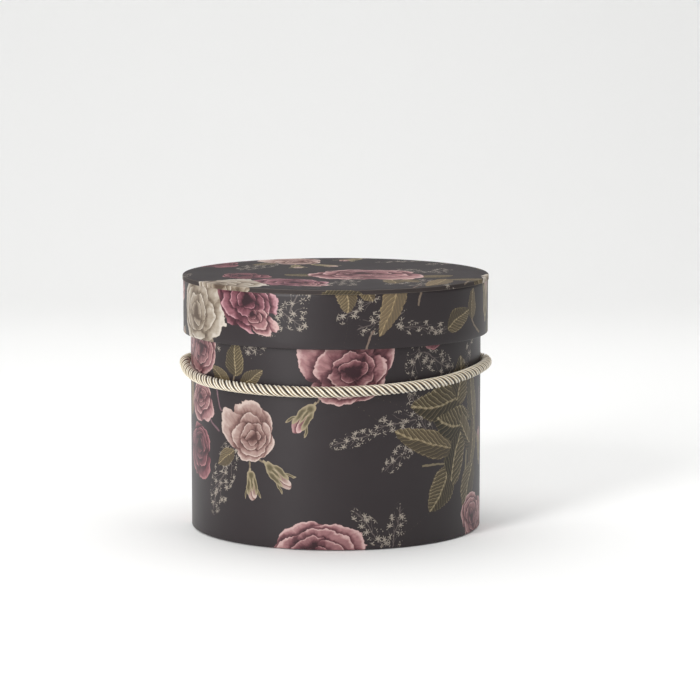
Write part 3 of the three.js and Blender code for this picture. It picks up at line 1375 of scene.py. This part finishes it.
@dataclass
class Rope:
    """A laid rope of three strands, each with two satin ridges and a sunk core between.

    Attributes:
        diameter: Over the ridges, in millimetres.
        lead: How far the rope runs while a strand goes once round, in millimetres.
        outline_points: Points round the rope.
        strands: How many strands it is laid from.
        pair_half_angle: Half the angle between a strand's two ridges, in degrees.
        ridge_share: A ridge's radius as a share of the rope's.
        floor_share: How far the grooves lie from the middle, as a share of the radius.
        core_share: The radius of each strand's core, as a share of the rope's.
        core_out: How far the core's middle lies out, as a share of the radius.
    """

    diameter: float = 7.0
    lead: float = 18.6
    outline_points: int = 72
    strands: int = 3
    pair_half_angle: float = 25.5
    ridge_share: float = 0.29
    floor_share: float = 0.5
    core_share: float = 0.33
    core_out: float = 0.49

    def _reach(self, angle: float) -> float:
        """Finds how far the twisted outline lies from the middle.

        Args:
            angle: The direction in radians.

        Returns:
            The distance in millimetres.
        """
        radius = self.diameter / 2
        best = radius * self.floor_share
        parts = [(side * self.pair_half_angle, 1 - self.ridge_share, self.ridge_share)
                 for side in (-1, 1)]
        parts.append((0.0, self.core_out, self.core_share))
        for strand in range(self.strands):
            for bearing, out, round_share in parts:
                away = angle - 2 * math.pi * strand / self.strands - math.radians(bearing)
                across = out * math.sin(away)
                if abs(across) < round_share and math.cos(away) > 0:
                    hit = out * math.cos(away) + math.sqrt(round_share**2 - across**2)
                    best = max(best, radius * hit)
        return best

    def _rings(
        self, mesh: bmesh.types.BMesh, line: Sequence[Vector], ends: float
    ) -> tuple[list[list[bmesh.types.BMVert]], list[float]]:
        """Makes the twisted outline's vertices at each point of a line.

        Args:
            mesh: Where they are made, each with its depth.
            line: Evenly spaced points in metres.
            ends: The share of its width that the rope has at its two ends.

        Returns:
            The rings, and how far along the line each one lies, in millimetres.
        """
        count = self.outline_points
        reach = [self._reach(2 * math.pi * i / count) for i in range(count)]
        floor, top = min(reach), max(reach)
        depth = mesh.verts.layers.float.new("depth")
        forward = (line[1] - line[0]).normalized()
        side = forward.orthogonal().normalized()
        gone = 0.0
        rings, places = [], []
        for i, point in enumerate(line):
            ahead = (line[min(i + 1, len(line) - 1)] - line[max(i - 1, 0)]).normalized()
            side = (forward.rotation_difference(ahead) @ side).normalized()
            forward = ahead
            up = forward.cross(side)
            if i:
                gone += (point - line[i - 1]).length / MM
            share = ends if i in (0, len(line) - 1) else 1.0
            twist = 2 * math.pi * gone / self.lead
            ring = []
            for j in range(count):
                angle = 2 * math.pi * j / count + twist
                out = side * math.cos(angle) + up * math.sin(angle)
                vert = mesh.verts.new(point + out * (reach[j] * share * MM))
                vert[depth] = (reach[j] - floor) / (top - floor)
                ring.append(vert)
            rings.append(ring)
            places.append(gone)
        return rings, places

    def _close(self, mesh: bmesh.types.BMesh, ring: list[bmesh.types.BMVert], up: float) -> None:
        """Closes one end of the rope.

        Args:
            mesh: The rope's mesh, with its two maps.
            ring: The end's vertices, seen from outside.
            up: How high on the saved map the end's face lies.
        """
        rope_map, bake_map = (mesh.loops.layers.uv[name] for name in ("rope", "OFBake"))
        for i, loop in enumerate(mesh.faces.new(ring).loops):
            angle = 2 * math.pi * i / len(ring)
            loop[rope_map].uv = (i / len(ring), 0)
            loop[bake_map].uv = (0.985 + 0.008 * math.cos(angle), up + 0.008 * math.sin(angle))

    def sweep(self, name: str, line: Sequence[Vector], ends: float = 0.8) -> bpy.types.Object:
        """Lays the rope along a line.

        Args:
            name: The new piece's name.
            line: Evenly spaced points in metres.
            ends: The share of its width that the rope has at its two ends.

        Returns:
            The new object, with a map of place round and along, and the depth of each point.
        """
        mesh = bmesh.new()
        rope_map = mesh.loops.layers.uv.new("rope")
        bake_map = mesh.loops.layers.uv.new("OFBake")
        rings, places = self._rings(mesh, line, ends)
        count = self.outline_points
        rows = max(1, round(math.sqrt(places[-1] / (math.pi * self.diameter))))
        per_row = math.ceil((len(line) - 1) / rows)
        for i, (low, high) in enumerate(zip(rings, rings[1:])):
            row, step = divmod(i, per_row)
            for j in range(count):
                k = (j + 1) % count
                face = mesh.faces.new((low[j], low[k], high[k], high[j]))
                face.smooth = True
                shares = ((j, 0), (j + 1, 0), (j + 1, 1), (j, 1))
                for loop, (turn, on) in zip(face.loops, shares):
                    loop[rope_map].uv = (turn / count, places[i + on])
                    loop[bake_map].uv = (
                        0.01 + 0.96 * (step + on) / per_row,
                        0.01 + 0.98 * (row + 0.98 * turn / count) / rows,
                    )
        self._close(mesh, rings[0][::-1], 0.25)
        self._close(mesh, rings[-1], 0.75)
        return finished(name, mesh)


# --- The box ----------------------------------------------------------------------


def dress(
    thing: bpy.types.Object, finish: bpy.types.Material, body: str, slot: str, *nodes: str
) -> bpy.types.Object:
    """Gives a piece its finish, attaches it to its body and hides the CAD nodes it stands for.

    Args:
        thing: The piece.
        finish: Its material.
        body: The body it moves with.
        slot: Its slot; not used.
        *nodes: The CAD nodes it stands for.

    Returns:
        The piece.
    """
    thing.data.materials.clear()
    thing.data.materials.append(finish)
    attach(thing, body)
    if nodes:
        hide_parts(*nodes)
    return thing


@dataclass
class Sizes:
    """The box's shared sizes in millimetres.

    Attributes:
        body_radius: Over the printed paper.
        body_height: From the table to the body's top edge.
        board: The greyboard's thickness.
        paper: Every paper's thickness.
        glue: The gap between two glued pieces.
        turn_in: How far the printed paper goes down inside an edge.
        turn_under: How far it goes in under the base.
        jog: The height in which a lining steps over the end of the turned-in paper.
        lining_drop: From a free edge to its lining.
        lid_top: The height of the lid's top face.
        rim_depth: From there to the lid's lower edge.
        rim_radius: Over the rim's printed paper.
        top_fold: How far the top's paper is folded down over the rim.
        cover_radius: Of the paper disc under the base.
        band_shift: How far up the print the rim's strip was cut from.
    """

    body_radius: float = 95.25
    body_height: float = 162.4
    board: float = 2.5
    paper: float = 0.3
    glue: float = 0.1
    turn_in: float = 12.0
    turn_under: float = 10.0
    jog: float = 1.0
    lining_drop: float = 3.0
    lid_top: float = 166.0
    rim_depth: float = 37.5
    rim_radius: float = 99.95
    top_fold: float = 2.5
    cover_radius: float = 92.25
    band_shift: float = 44.0

    @property
    def pasted(self) -> float:
        """Paper and glue together."""
        return self.paper + self.glue

    @property
    def wall_inside(self) -> float:
        """The inside radius of the body's wall board."""
        return self.body_radius - self.pasted - self.board

    @property
    def base_inside(self) -> float:
        """The height of the base board's upper face."""
        return 2 * self.pasted + self.board

    @property
    def top_inside(self) -> float:
        """The height of the lid board's lower face."""
        return self.lid_top - self.pasted - self.board

    @property
    def rim_inside(self) -> float:
        """The inside radius of the lid's rim board."""
        return self.rim_radius - self.pasted - self.board


@dataclass
class Handle:
    """The cord across the front, with a knot and a tail inside the wall at each end.

    Attributes:
        sizes: The box's sizes.
        rope: The rope it is made of.
        diameter: The rope's diameter, in millimetres as all that follow.
        gap: Between the hanging cord and the wall.
        hole_height: Of the middle of the two holes.
        exit_bend: The radius of the cord's bend into its hole, on the unrolled wall.
        exit_drop: The cord's fall along that bend.
        wall: The wall's whole thickness.
        knot_inside: From the lining to the knot's nearer face.
        knot_length: From face to face.
        knot_diameter: At its widest.
        knot_turns: How often the rope goes round itself.
        tail_length: Past the knot.
        joint_gap: Between pieces that meet end to end.
        spacing: Between the rings of the swept rope.
        exit_steps: Into how many pieces the bend is split.
        hang: The hanging points: degrees from the right towards the front, and fall.
    """

    sizes: Sizes
    rope: Rope = field(default_factory=Rope)
    diameter: float = 7.0
    gap: float = 0.8
    hole_height: float = 110.5
    exit_bend: float = 17.0
    exit_drop: float = 1.5
    wall: float = 3.3
    knot_inside: float = 2.8
    knot_length: float = 16.0
    knot_diameter: float = 20.0
    knot_turns: float = 2.3
    tail_length: float = 10.0
    joint_gap: float = 0.3
    spacing: float = 0.7
    exit_steps: int = 7
    hang: tuple[Point, ...] = (
        (11.5, 1.8),
        (17, 2.1),
        (24, 2.7),
        (34, 3.9),
        (46, 5.5),
        (60, 6.8),
        (75, 7.9),
        (90, 8.6),
        (105, 8.8),
        (120, 8.7),
        (134, 8.4),
        (145, 7.9),
        (154, 7),
        (162, 5.4),
        (168, 3.6),
    )

    def _wall_point(self, bearing: float, stand_off: float, height: float) -> Vector:
        """Finds a point off the wall.

        Args:
            bearing: Radians from the right towards the front.
            stand_off: How far out of the wall's paper, in millimetres.
            height: In millimetres.

        Returns:
            The point in metres.
        """
        radius = self.sizes.body_radius + stand_off
        place = (radius * math.cos(bearing), -radius * math.sin(bearing), height)
        return Vector(place) * MM

    def route(self) -> list[Vector]:
        """Finds the points the cord runs through.

        Returns:
            The points in metres, from the right knot to the left one.
        """
        hanging = self.diameter / 2 + self.gap
        start = self.exit_bend * math.sin(
            math.acos((self.exit_bend - hanging - self.wall / 2) / self.exit_bend)
        )
        last = math.acos(
            (self.exit_bend - hanging - self.wall - self.knot_inside) / self.exit_bend
        )
        bend = []
        for i in range(self.exit_steps + 1):
            share = i / self.exit_steps
            angle = last * (1 - share)
            along = start - self.exit_bend * math.sin(angle)
            off = hanging - self.exit_bend * (1 - math.cos(angle))
            height = self.hole_height - self.exit_drop * share**2
            bend.append(self._wall_point(along / self.sizes.body_radius, off, height))
        hung = [
            self._wall_point(math.radians(bearing), hanging, self.hole_height - fall)
            for bearing, fall in self.hang
        ]
        mirrored = [Vector((-p.x, p.y, p.z)) for p in reversed(bend)]
        return [*bend, *hung, *mirrored]

    def build(self, yarn: bpy.types.Material) -> None:
        """Args:
            yarn: The rope's finish.
        """
        line = smooth_line(self.route(), self.spacing * MM)
        cord = dress(self.rope.sweep("handle_cord_rope", line), yarn, "handle", "satin_cord",
                     "handle_cord")
        for side, end, before in (("right", line[0], line[1]), ("left", line[-1], line[-2])):
            inward = (end - before).normalized()
            turn = Vector((0, 0, 1)).rotation_difference(inward).to_matrix().to_4x4()
            place = Matrix.Translation(end) @ turn
            self._knot(side, place, yarn)
            self._tail(side, place, yarn)

    @staticmethod
    def _straight(low: float, length: float, steps: int) -> list[Vector]:
        """Points up a straight line, in metres."""
        return [Vector((0, 0, low + length * i / steps)) * MM for i in range(steps + 1)]

    def _knot(self, side: str, place: Matrix, yarn: bpy.types.Material) -> bpy.types.Object:
        """Makes a barrel knot: the rope goes round the cord's own line.

        Args:
            side: Which end it is on.
            place: Where the cord ends, with Z along it.
            yarn: The rope's finish.

        Returns:
            The knot.
        """
        low, steps = self.joint_gap, 90
        core = self._straight(low, self.knot_length, 24)
        thick = self.diameter * 0.9
        out = self.knot_diameter / 2 - thick / 2
        first = low + thick / 2 + 0.2
        last = low + self.knot_length - thick / 2 - 0.2
        coil = []
        for i in range(steps + 1):
            share = i / steps
            spread = out * min(1.0, math.sin(math.pi * share) * 3.2 + 0.25)
            angle = 2 * math.pi * self.knot_turns * share
            height = first + (last - first) * share
            coil.append(
                Vector((spread * math.cos(angle), spread * math.sin(angle), height)) * MM
            )
        line = smooth_line(coil, self.spacing * MM)
        wrapped = Rope(diameter=thick).sweep("knot", line, 0.5)
        thing = self.rope.sweep(f"cord_knot_{side}_rope", core)
        mesh = bmesh.new()
        mesh.from_mesh(thing.data)
        mesh.from_mesh(wrapped.data)
        bpy.data.objects.remove(wrapped)
        bmesh.ops.transform(mesh, matrix=place, verts=mesh.verts)
        mesh.to_mesh(thing.data)
        mesh.free()
        return dress(thing, yarn, "handle", "satin_cord", f"cord_knot_{side}")

    def _tail(self, side: str, place: Matrix, yarn: bpy.types.Material) -> bpy.types.Object:
        """Makes the rope's end past the knot, pinched where it is bound.

        Args:
            side: Which end it is on.
            place: Where the cord ends, with Z along it.
            yarn: The rope's finish.

        Returns:
            The tail.
        """
        low = self.knot_length + 2 * self.joint_gap
        line = self._straight(low, self.tail_length, 20)
        thing = self.rope.sweep(f"cord_tail_{side}_rope", line, 0.9)
        bound_at, bound_half, bound_depth = self.tail_length * 0.55, 1.6, 0.16
        mesh = bmesh.new()
        mesh.from_mesh(thing.data)
        for vert in mesh.verts:
            away = (vert.co.z / MM - low - bound_at) / bound_half
            pinch = 1 - bound_depth * math.exp(-(away**2))
            vert.co.x, vert.co.y = vert.co.x * pinch, vert.co.y * pinch
        bmesh.ops.transform(mesh, matrix=place, verts=mesh.verts)
        mesh.to_mesh(thing.data)
        mesh.free()
        return dress(thing, yarn, "handle", "satin_cord", f"cord_tail_{side}")


@dataclass
class BodyShell:
    """The body: boards, printed paper outside, plain lining inside.

    Attributes:
        sizes: The box's sizes.
        hole_front: The front end of the two holes, in millimetres as all that follow.
        hole_back: Their back end.
        hole_half_height: Half their height, and the radius of their round ends.
        hole_height: Of their middle.
        lip_radius: The fold's radius at the top edge.
        base_fold: The fold's radius at the lower edge.
        step_radius: The softness of the lining's step.
    """

    sizes: Sizes
    hole_front: float = 9.34
    hole_back: float = -6.3
    hole_half_height: float = 5.0
    hole_height: float = 110.5
    lip_radius: float = 0.9
    base_fold: float = 0.5
    step_radius: float = 1.5

    def _cutter(self) -> bpy.types.Object:
        """Makes a bar along X with the holes' section.

        Returns:
            The bar.
        """
        reach = (self.hole_front - self.hole_back) / 2 - self.hole_half_height
        middle = (self.hole_front + self.hole_back) / 2
        section, steps = [], 12
        for side in (1, -1):
            for i in range(steps + 1):
                angle = math.pi * (i / steps - 0.5) + (math.pi if side < 0 else 0)
                y = middle + side * reach + self.hole_half_height * math.cos(angle)
                z = self.hole_height + self.hole_half_height * math.sin(angle)
                section.append((y * MM, z * MM))
        mesh = bmesh.new()
        mesh.faces.layers.int.new("made")
        half = self.sizes.body_radius * 1.26 * MM
        near, far = ([mesh.verts.new((x, -y, z)) for y, z in section] for x in (-half, half))
        mesh.faces.new(near)
        mesh.faces.new(far[::-1])
        for i in range(len(section)):
            k = (i + 1) % len(section)
            mesh.faces.new((near[k], near[i], far[i], far[k]))
        bmesh.ops.recalc_face_normals(mesh, faces=mesh.faces)
        return finished("hole cutter", mesh)

    def build(
        self, printed: bpy.types.Material, lining: bpy.types.Material, board: bpy.types.Material
    ) -> None:
        """Makes the body's papers and dresses its boards.

        Args:
            printed: The printed paper's finish.
            lining: The lining's finish.
            board: The greyboard's finish.
        """
        s = self.sizes
        cutter = self._cutter()
        inner = s.wall_inside - s.glue - s.paper
        path = [
            (s.body_radius - s.paper - s.turn_under, s.pasted),
            (s.body_radius, s.pasted),
            (s.body_radius, s.body_height),
            (inner, s.body_height),
            (inner, s.body_height - s.pasted - s.turn_in),
        ]
        path = rounded(path, (self.base_fold, self.lip_radius, self.lip_radius))
        outline, shown = sheet_outline(split_longest(path, 24), s.paper)
        origin = (PRINT_FRONT, s.pasted - s.paper - s.turn_under)
        wall = Turned("wall_printed_paper_sheet", outline, shown, origin=origin).build()
        cut_holes(wall, cutter)
        dress(wall, printed, "box", "printed_paper", "wall_printed_paper")
        turn_end = s.body_height - s.pasted - s.turn_in
        base_lining = s.base_inside + s.glue
        path = [
            (inner - s.pasted, s.body_height - s.lining_drop),
            (inner - s.pasted, turn_end - s.jog),
            (inner, turn_end - 2 * s.jog),
            (inner, base_lining + s.pasted),
        ]
        path = split_longest(rounded(path, (self.step_radius, self.step_radius)), 16)
        outline, shown = sheet_outline(path, s.paper)
        inside = Turned("wall_lining_sheet", outline, shown).build()
        cut_holes(inside, cutter)
        dress(inside, lining, "box", "lining_paper", "wall_lining")
        bpy.data.objects.remove(cutter)
        for name, node, radius, low, high in (
            ("base_cover_sheet", "base_cover_paper", s.cover_radius, 0.0, s.paper),
            ("base_lining_sheet", "base_lining", s.wall_inside - s.glue,
             base_lining, base_lining + s.paper),
        ):
            disc = disc_piece(name, radius, low, high)
            dress(disc, lining, "box", "lining_paper", node)
        for node in ("wall_board", "base_board"):
            dress(frame["nodes"][node], board, "box", "greyboard")
        LOG.info("body: %d faces of printed paper", len(wall.data.polygons))


def disc_piece(name: str, radius: float, low: float, high: float) -> bpy.types.Object:
    """Makes a flat paper disc with eased edges.

    Args:
        name: The piece's name.
        radius: In millimetres, as all that follow.
        low: The height of its lower face.
        high: The height of its upper face.

    Returns:
        The disc.
    """
    ease = (high - low) * 0.3
    reach = (0.0, radius * 0.34, radius * 0.67, radius - ease)
    outline = [(r, low) for r in reach]
    outline += [(radius, low + ease), (radius, high - ease)]
    outline += [(r, high) for r in reversed(reach)]
    return Turned(name, outline, len(outline), Layout.POLAR, closed=False).build()


@dataclass
class Lid:
    """The lid: a printed rim and top over boards, with plain linings.

    Attributes:
        sizes: The box's sizes.
        corner_radius: The folds' radius in millimetres.
        corner_steps: Into how many pieces the top's fold is split.
        step_radius: The softness of the lining's step, in millimetres.
        print_middle: Which place on the print is the middle of the top, in millimetres.
    """

    sizes: Sizes
    corner_radius: float = 0.6
    corner_steps: int = 6
    step_radius: float = 1.5
    print_middle: Point = (119.0, 257.0)

    def _highlight_and_cut_edge(self, count: int) -> dict[int, float]:
        """How pale the top paper is along its corner and its folded edge: painted highlight, and
        its cut edge.

        Args:
            count: How many points its shown outline has, from the middle to the edge.

        Returns:
            The paleness of each pale strip, by its number.
        """
        corner = count - 3 - self.corner_steps
        steps = self.corner_steps
        # Painted highlight: the rounded corner is painted paler, most at its middle.
        corner_highlight = {corner + i: 0.16 * math.sin(math.pi * (i + 0.5) / steps) for i in range(steps)}
        # Painted light on the fold, whose sheen is weaker than the rim's: a little paler, paler
        # still in its last quarter millimetre; the last strip is the cut edge.
        return {**corner_highlight, count - 3: 0.05, count - 2: 0.2, count - 1: 1.0}

    def build(
        self, rim: bpy.types.Material, top: bpy.types.Material, lining: bpy.types.Material,
        board: bpy.types.Material,
    ) -> None:
        """Makes the lid's papers and dresses its boards.

        Args:
            rim: The printed rim's finish.
            top: The printed top's finish.
            lining: The lining's finish.
            board: The greyboard's finish.
        """
        s = self.sizes
        bottom = s.lid_top - s.rim_depth
        board_top = s.lid_top - s.pasted
        inner = s.rim_inside - s.glue - s.paper
        path = [
            (inner, bottom + s.pasted + s.turn_in),
            (inner, bottom),
            (s.rim_radius, bottom),
            (s.rim_radius, board_top),
        ]
        path = split_longest(rounded(path, (self.corner_radius, self.corner_radius)), 8)
        outline, shown = sheet_outline(path, s.paper)
        run = sum(math.dist(a, b) for a, b in zip(path, path[1:]))
        origin = (PRINT_FRONT, board_top + s.band_shift - run)
        band = Turned("lid_rim_printed_sheet", outline, shown, origin=origin, rows=3).build()
        dress(band, rim, "lid", "printed_paper", "lid_rim_printed_paper")
        fold = s.rim_radius + s.glue + s.paper
        edge = board_top - s.top_fold
        shown_side = [(0.0, s.lid_top), (fold, s.lid_top), (fold, edge + 0.25), (fold, edge)]
        shown_side = rounded(shown_side, (self.corner_radius, 0), self.corner_steps)
        shown_side = split_longest(shown_side, 10)
        hidden = offset(shown_side, -s.paper)
        outline = [*shown_side, *reversed(hidden)]
        lid_top = Turned(
            "lid_top_printed_sheet", outline, len(shown_side), Layout.POLAR, self.print_middle,
            False, cut_and_highlight_strips=self._highlight_and_cut_edge(len(shown_side)),
        )
        dress(lid_top.build(), top, "lid", "printed_paper", "lid_top_printed_paper")
        turn_end = bottom + s.pasted + s.turn_in
        top_lining = s.top_inside - s.glue
        path = [
            (inner, top_lining - s.pasted),
            (inner, turn_end + 2 * s.jog),
            (inner - s.pasted, turn_end + s.jog),
            (inner - s.pasted, bottom + s.lining_drop),
        ]
        outline, shown = sheet_outline(rounded(path, (self.step_radius,) * 2), s.paper)
        inside = Turned("lid_rim_lining_sheet", outline, shown, rows=3).build()
        dress(inside, lining, "lid", "lining_paper", "lid_rim_lining")
        disc = disc_piece("lid_top_lining_sheet", s.rim_inside - s.glue,
                          top_lining - s.paper, top_lining)
        dress(disc, lining, "lid", "lining_paper", "lid_top_lining")
        for node in ("lid_top_board", "lid_rim_board"):
            dress(frame["nodes"][node], board, "lid", "greyboard")
        LOG.info("lid: rim sheet of %d faces", len(band.data.polygons))


# --- The studio -------------------------------------------------------------------


@dataclass
class Studio:
    """The camera, the lights and the pale floor.

    Attributes:
        distance: From the box's axis to the camera, in metres.
        height: The camera's height in metres.
        pitch: How far the camera looks down, in degrees.
        yaw: How far it looks to the right of the box's axis, in degrees.
        lens: In millimetres.
        floor_gap: How far the floor lies under the box, in metres.
        room_glow: How bright the room's even light is.
    """

    distance: float = 1.8807
    height: float = 0.3662
    pitch: float = 7.603
    yaw: float = 0.2868
    lens: float = 148.18
    floor_gap: float = 0.0002
    room_glow: float = 0.24

    def place_camera(self) -> None:
        """Makes the camera."""
        data = bpy.data.cameras.new("camera")
        data.lens, data.sensor_width = self.lens, 36.0
        data.clip_start, data.clip_end = 0.1, 40
        camera = bpy.data.objects.new("camera", data)
        camera.location = (0, -self.distance, self.height)
        camera.rotation_euler = (math.radians(90 - self.pitch), 0, math.radians(-self.yaw))
        bpy.context.scene.collection.objects.link(camera)
        bpy.context.scene.camera = camera

    def place_floor(self) -> None:
        """Makes a floor that turns up into a wall behind, as one seamless sheet."""
        mesh = bmesh.new()
        near, bend, radius, top, half_width, steps = -3.0, 1.2, 0.8, 4.0, 4.0, 16
        turns = (math.pi / 2 * i / steps for i in range(1, steps + 1))
        profile = [(near, 0.0), (bend, 0.0)]
        profile += [(bend + radius * math.sin(a), radius - radius * math.cos(a)) for a in turns]
        profile.append((bend + radius, top))
        rows = [[mesh.verts.new((x, y, z)) for x in (-half_width, half_width)]
                for y, z in profile]
        for low, high in zip(rows, rows[1:]):
            mesh.faces.new((low[0], low[1], high[1], high[0])).smooth = True
        floor = finished("seamless floor", mesh)
        floor.location.z = -self.floor_gap
        floor.data.materials.append(Seamless().make())

    def _area(
        self, name: str, place: Sequence[float], size: Sequence[float], power: float,
        aim: Sequence[float] = (0, 0, 0.08),
    ) -> None:
        """Makes one soft light that looks at a point.

        Args:
            name: The light's name.
            place: Its place in metres.
            size: Its width and height in metres.
            power: In watts.
            aim: The point it looks at.
        """
        data = bpy.data.lights.new(name, "AREA")
        data.shape, data.size, data.size_y, data.energy = "RECTANGLE", size[0], size[1], power
        light = bpy.data.objects.new(name, data)
        light.location = place
        light.rotation_euler = (Vector(aim) - Vector(place)).to_track_quat("-Z", "Y").to_euler()
        bpy.context.scene.collection.objects.link(light)

    def place_lights(self) -> None:
        """Makes the soft lights and the room's glow."""
        self._area("front left", (-1.2, -1.7, 0.85), (0.55, 1.3), 36)
        self._area("front right", (1.6, -1.2, 0.9), (0.7, 1.2), 4)
        self._area("overhead", (0.0, 0.4, 1.6), (2.6, 1.6), 24)
        world = bpy.data.worlds.new("room")
        world.use_nodes = True
        glow = world.node_tree.nodes["Background"]
        glow.inputs["Color"].default_value = (1.0, 1.0, 1.0, 1.0)
        glow.inputs["Strength"].default_value = self.room_glow
        scene = bpy.context.scene
        scene.world = world
        scene.view_settings.view_transform = "Standard"


def main() -> None:
    """Builds the studio and the box, and logs the face counts of two printed sheets."""
    logging.basicConfig(level=logging.INFO, format="%(name)s %(message)s")
    studio = Studio()
    studio.place_camera()
    sizes = Sizes()
    Handle(sizes).build(SatinYarn().make())
    rose_print = RosePrint().draw()
    printed = PrintedPaper("rose paper").make(rose_print)
    top_printed = PrintedPaper("rose paper of the lid", 0.6, 0.12).make(rose_print)
    lining = PlainPaper("charcoal lining", srgb(40, 38, 42), srgb(74, 71, 74)).make()
    board = Greyboard().make()
    BodyShell(sizes).build(printed, lining, board)
    Lid(sizes).build(printed, top_printed, lining, board)
    studio.place_floor()
    studio.place_lights()


if __name__ == "__main__":
    main()
